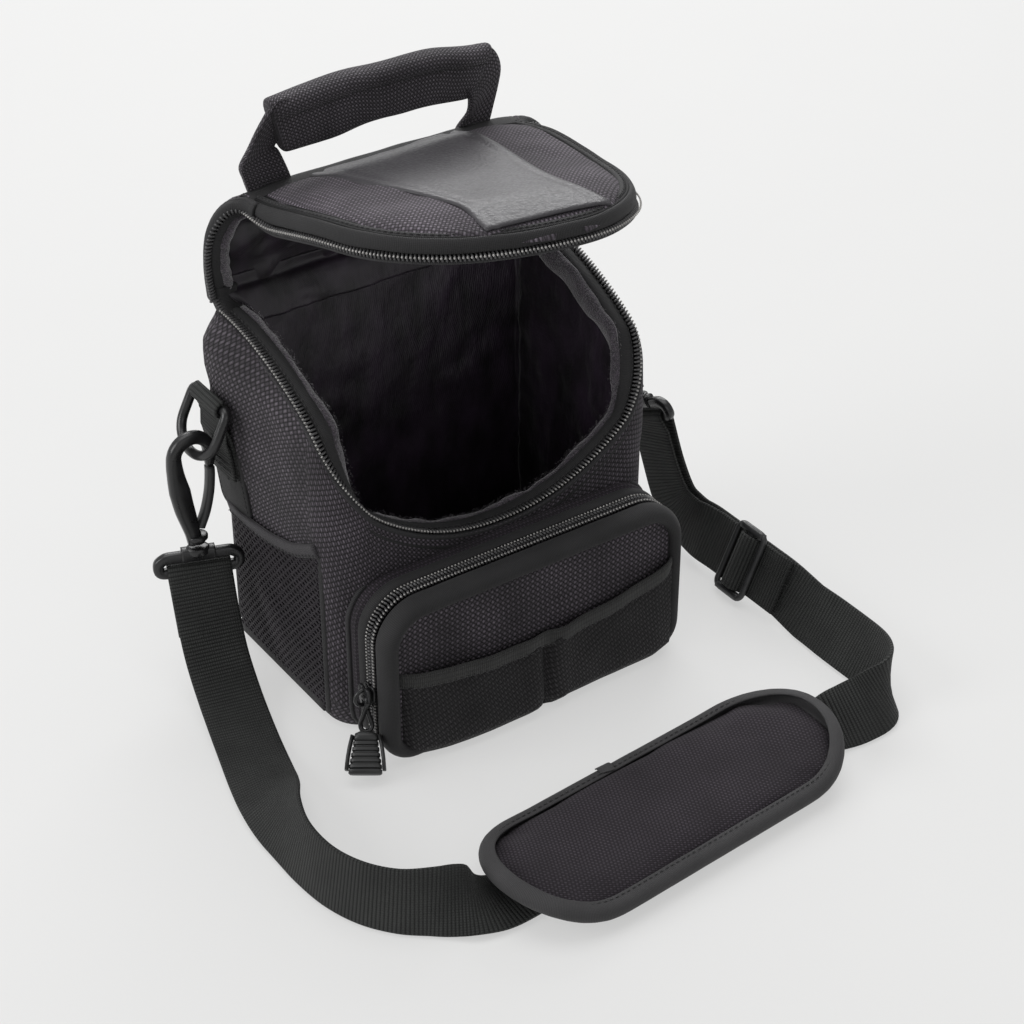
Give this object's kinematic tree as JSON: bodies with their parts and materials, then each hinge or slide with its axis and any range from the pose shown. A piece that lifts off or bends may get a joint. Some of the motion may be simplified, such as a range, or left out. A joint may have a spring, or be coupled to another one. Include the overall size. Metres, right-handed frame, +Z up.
{
  "type": "camera bag",
  "caption": "Small padded camera bag with a folding zip lid, front pocket, mesh side pockets, carry handle, and a shoulder strap on snap hooks with a sliding pad.",
  "frame": {"origin": "centre of the flat base of the main compartment, on the surface the bag stands on", "axes": "+Z up, -Y towards the front pocket, +X to the right seen from the front"},
  "size_m": [0.2552, 0.229, 0.2318],
  "materials": {
    "nylon_cloth": "woven, matte",
    "padded_lining": "smooth padded cloth",
    "leatherette": "satin",
    "binding_tape": "ribbed tape",
    "zip_coil": "moulded coil on tape",
    "plush_trim": "brushed pile",
    "pocket_mesh": "open net",
    "webbing": "ribbed webbing",
    "pad_cloth": "woven, matte",
    "black_plastic": "satin moulded",
    "pull_rubber": "ribbed, matte"
  },
  "bodies": {
    "root": {"outer_shell": "nylon_cloth", "padded_lining": "padded_lining", "base_pad": "padded_lining", "body_zip_tape": "binding_tape", "body_zip_teeth": "zip_coil", "rim_trim": "plush_trim", "side_pocket_left": "pocket_mesh", "side_pocket_right": "pocket_mesh", "side_binding_left": "binding_tape", "side_binding_right": "binding_tape", "pocket_gusset": "nylon_cloth", "pocket_zip_fixed": "zip_coil", "tab_left": "webbing", "tab_right": "webbing", "strap_frame_left": "black_plastic", "strap_frame_right": "black_plastic", "strap_webbing": "webbing", "strap_return": "webbing"},
    "lid_back": {"lid_back_panel": "nylon_cloth", "lid_ridge": "binding_tape", "lid_back_lining": "padded_lining", "lid_back_zip_left": "zip_coil", "lid_back_zip_right": "zip_coil"},
    "lid_middle": {"lid_middle_panel": "nylon_cloth", "lid_middle_lining": "padded_lining", "lid_middle_zip_left": "zip_coil", "lid_middle_zip_right": "zip_coil", "lid_middle_piping_left": "binding_tape", "lid_middle_piping_right": "binding_tape", "leather_patch_middle": "leatherette"},
    "lid_front": {"lid_front_panel": "nylon_cloth", "lid_front_lining": "padded_lining", "lid_front_band": "nylon_cloth", "lid_front_zip": "zip_coil", "lid_front_piping": "binding_tape", "leather_patch_front": "leatherette"},
    "handle": {"handle_webbing": "webbing", "handle_grip": "nylon_cloth"},
    "pocket_cover": {"pocket_cover": "nylon_cloth", "pocket_zip_cover": "zip_coil", "cover_binding": "binding_tape", "slip_pocket": "nylon_cloth", "slip_pocket_band": "binding_tape"},
    "pocket_slider": {"pocket_slider": "black_plastic"},
    "pocket_puller": {"pocket_pull_cord": "webbing", "pocket_pull_grip": "pull_rubber"},
    "main_slider": {"main_slider": "black_plastic"},
    "main_puller": {"main_pull_cord": "webbing", "main_pull_grip": "pull_rubber"},
    "ring_left": {"d_ring_left": "black_plastic"},
    "ring_right": {"d_ring_right": "black_plastic"},
    "hook_left": {"hook_left": "black_plastic"},
    "hook_right": {"hook_right": "black_plastic"},
    "gate_left": {"hook_gate_left": "black_plastic"},
    "gate_right": {"hook_gate_right": "black_plastic"},
    "strap_slider": {"tri_glide": "black_plastic"},
    "shoulder_pad": {"pad_cushion": "pad_cloth", "pad_binding": "binding_tape", "pad_keeper_left": "webbing", "pad_keeper_right": "webbing"}
  },
  "joints": [
    {"name": "lid_hinge", "type": "hinge", "parent": "root", "child": "lid_back", "pos_m": [0, 0.0516, 0.155], "axis": [1, 0, 0], "range_deg": [0, 78.2]},
    {"name": "lid_fold", "type": "hinge", "parent": "lid_back", "child": "lid_middle", "pos_m": [0, 0.04604, 0.19527], "axis": [1, 0, 0], "range_deg": [-45.6, 0]},
    {"name": "lid_fold_front", "type": "hinge", "parent": "lid_middle", "child": "lid_front", "pos_m": [0, -0.00579, 0.19259], "axis": [1, 0, 0], "range_deg": [0, 55.1]},
    {"name": "handle_swing", "type": "hinge", "parent": "lid_back", "child": "handle", "pos_m": [0, 0.04604, 0.19827], "axis": [1, 0, 0], "range_deg": [-75, 8]},
    {"name": "pocket_cover_hinge", "type": "hinge", "parent": "root", "child": "pocket_cover", "pos_m": [0, -0.0575, 0.001], "axis": [1, 0, 0], "range_deg": [0, 55]},
    {"name": "pocket_zip_slide", "type": "slide", "parent": "root", "child": "pocket_slider", "axis": [0, 0, 1], "range_m": [0, 0.018]},
    {"name": "pocket_pull_swing", "type": "hinge", "parent": "pocket_slider", "child": "pocket_puller", "pos_m": [-0.0728, -0.0494, 0.03], "axis": [0, 1, 0], "range_deg": [0, 100]},
    {"name": "main_zip_slide", "type": "slide", "parent": "root", "child": "main_slider", "axis": [0, -1, 0], "range_m": [0, 0.018]},
    {"name": "main_pull_swing", "type": "hinge", "parent": "main_slider", "child": "main_puller", "pos_m": [0.0778, 0.044, 0.1528], "axis": [0, -1, 0], "range_deg": [0, 110]},
    {"name": "ring_swing_left", "type": "hinge", "parent": "root", "child": "ring_left", "pos_m": [-0.082, 0.04, 0.119], "axis": [0, 1, 0], "range_deg": [-4, 4]},
    {"name": "ring_swing_right", "type": "hinge", "parent": "root", "child": "ring_right", "pos_m": [0.082, 0.04, 0.119], "axis": [0, 1, 0], "range_deg": [-1, 4]},
    {"name": "hook_swivel_left", "type": "hinge", "parent": "root", "child": "hook_left", "pos_m": [-0.09285, 0.04, 0.05641], "axis": [-0.02, 0, -0.9998], "range_deg": [-10, 10]},
    {"name": "hook_swivel_right", "type": "hinge", "parent": "root", "child": "hook_right", "pos_m": [0.10747, 0.02065, 0.06579], "axis": [0.2501, -0.4501, -0.8572], "range_deg": [-6, 6]},
    {"name": "gate_press_left", "type": "hinge", "parent": "hook_left", "child": "gate_left", "pos_m": [-0.09007, 0.04, 0.06535], "axis": [0, -1, 0], "range_deg": [0, 18], "stiffness_Nm_per_rad": 0.02, "springref_deg": -5.73},
    {"name": "gate_press_right", "type": "hinge", "parent": "hook_right", "child": "gate_right", "pos_m": [0.10271, 0.02439, 0.07293], "axis": [0, 0.8853, -0.4649], "range_deg": [0, 18], "stiffness_Nm_per_rad": 0.02, "springref_deg": -5.73},
    {"name": "strap_adjust_slide", "type": "slide", "parent": "root", "child": "strap_slider", "axis": [0, 1, 0], "range_m": [-0.005, 0.005], "deforming": ["strap_return", "strap_webbing"]},
    {"name": "pad_slide", "type": "slide", "parent": "root", "child": "shoulder_pad", "axis": [0.9969, 0.0785, 0], "range_m": [-0.005, 0.005]}
  ],
  "couplings": [
    {"joint": "lid_fold", "follows": "lid_hinge", "ratio": -0.582},
    {"joint": "lid_fold_front", "follows": "lid_hinge", "ratio": 0.703}
  ]
}
